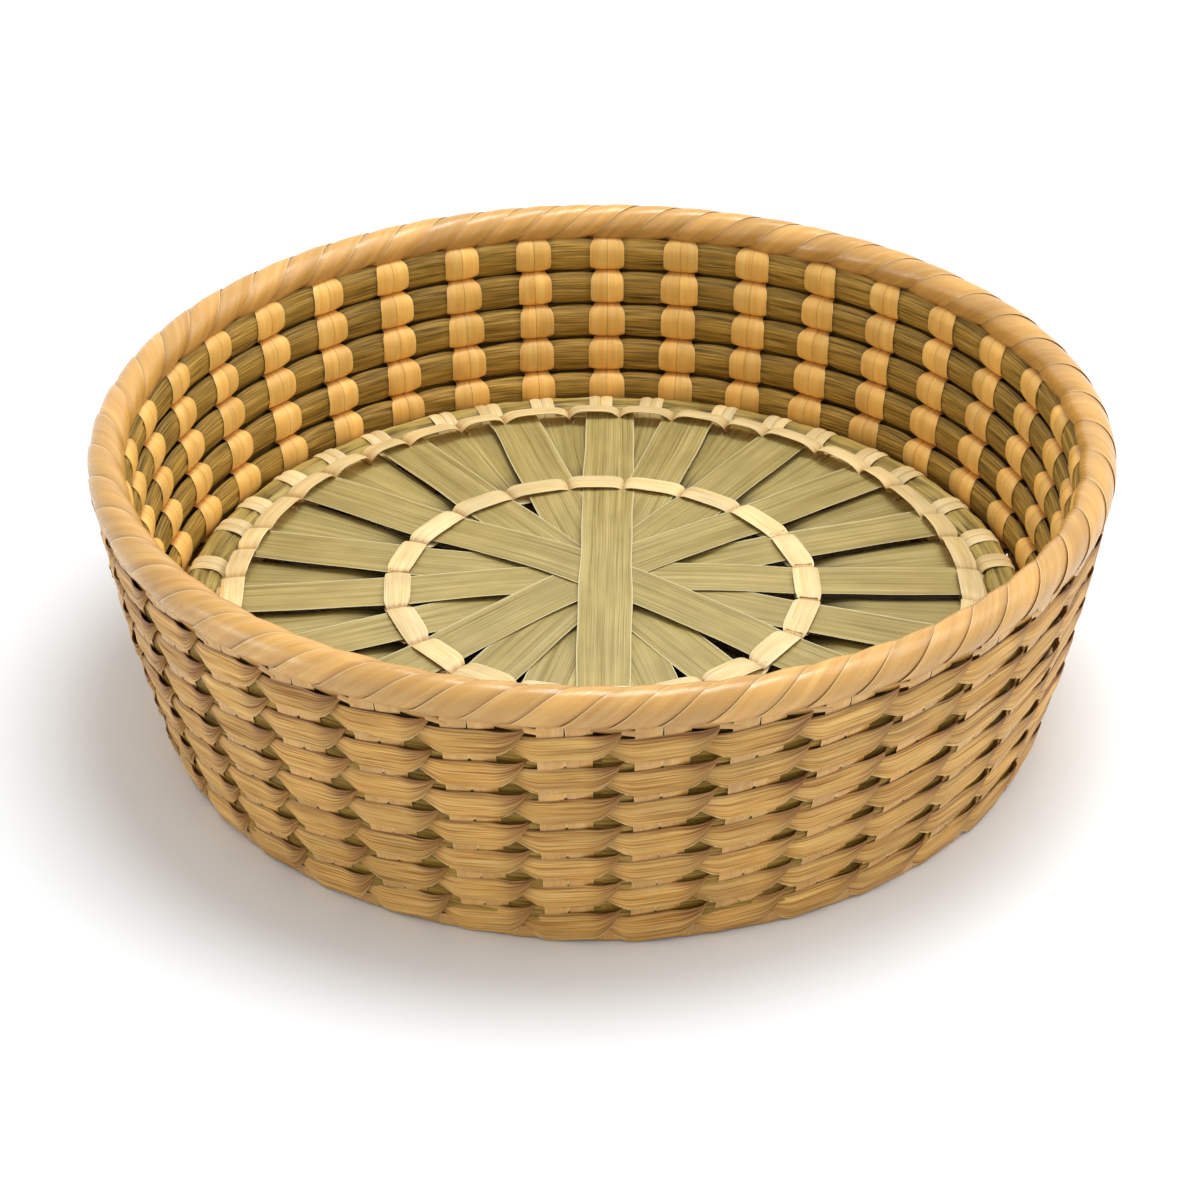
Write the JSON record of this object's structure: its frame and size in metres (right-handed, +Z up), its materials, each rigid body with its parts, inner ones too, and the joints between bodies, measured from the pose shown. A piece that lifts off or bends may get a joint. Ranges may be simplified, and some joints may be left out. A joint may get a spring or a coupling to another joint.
{
  "type": "tortilla basket",
  "caption": "Open round basket of stacked fibre coils laced with pale leaf strips, with a wound rim, a hollow foot and a raised floor of crossed leaf straps, for serving tortillas",
  "frame": {"origin": "middle of the face that the basket stands on", "axes": "+Z up out of the mouth, -Y towards the front of the picture, +X to its right"},
  "size_m": [0.2494, 0.2494, 0.0755],
  "materials": {
    "coil_fibre": "matte fibre",
    "lacing_leaf": "satin dry leaf",
    "rim_leaf": "satin dry leaf",
    "floor_leaf": "satin dry leaf",
    "ring_leaf": "satin dry leaf"
  },
  "bodies": {
    "root": {"wall_coil_1": "coil_fibre", "wall_coil_2": "coil_fibre", "wall_coil_3": "coil_fibre", "wall_coil_4": "coil_fibre", "wall_coil_5": "coil_fibre", "wall_coil_6": "coil_fibre", "wall_coil_7": "coil_fibre", "rim_core": "coil_fibre", "base_coil": "coil_fibre", "wall_lacing_1": "lacing_leaf", "wall_lacing_2": "lacing_leaf", "wall_lacing_3": "lacing_leaf", "wall_lacing_4": "lacing_leaf", "wall_lacing_5": "lacing_leaf", "wall_lacing_6": "lacing_leaf", "wall_lacing_7": "lacing_leaf", "base_coil_lacing": "lacing_leaf", "rim_wrap": "rim_leaf", "floor_strap_01": "floor_leaf", "floor_strap_02": "floor_leaf", "floor_strap_03": "floor_leaf", "floor_strap_04": "floor_leaf", "floor_strap_05": "floor_leaf", "floor_strap_06": "floor_leaf", "floor_strap_07": "floor_leaf", "floor_strap_08": "floor_leaf", "floor_strap_09": "floor_leaf", "floor_strap_10": "floor_leaf", "floor_filler_01": "floor_leaf", "floor_filler_02": "floor_leaf", "floor_filler_03": "floor_leaf", "floor_filler_04": "floor_leaf", "floor_filler_05": "floor_leaf", "floor_filler_06": "floor_leaf", "floor_filler_07": "floor_leaf", "floor_filler_08": "floor_leaf", "floor_filler_09": "floor_leaf", "floor_filler_10": "floor_leaf", "floor_filler_11": "floor_leaf", "floor_filler_12": "floor_leaf", "floor_filler_13": "floor_leaf", "floor_filler_14": "floor_leaf", "floor_filler_15": "floor_leaf", "floor_filler_16": "floor_leaf", "floor_filler_17": "floor_leaf", "floor_filler_18": "floor_leaf", "floor_filler_19": "floor_leaf", "floor_filler_20": "floor_leaf", "inner_ring_upper": "ring_leaf", "inner_ring_lower": "ring_leaf", "outer_ring_upper": "ring_leaf", "outer_ring_lower": "ring_leaf"}
  },
  "joints": []
}
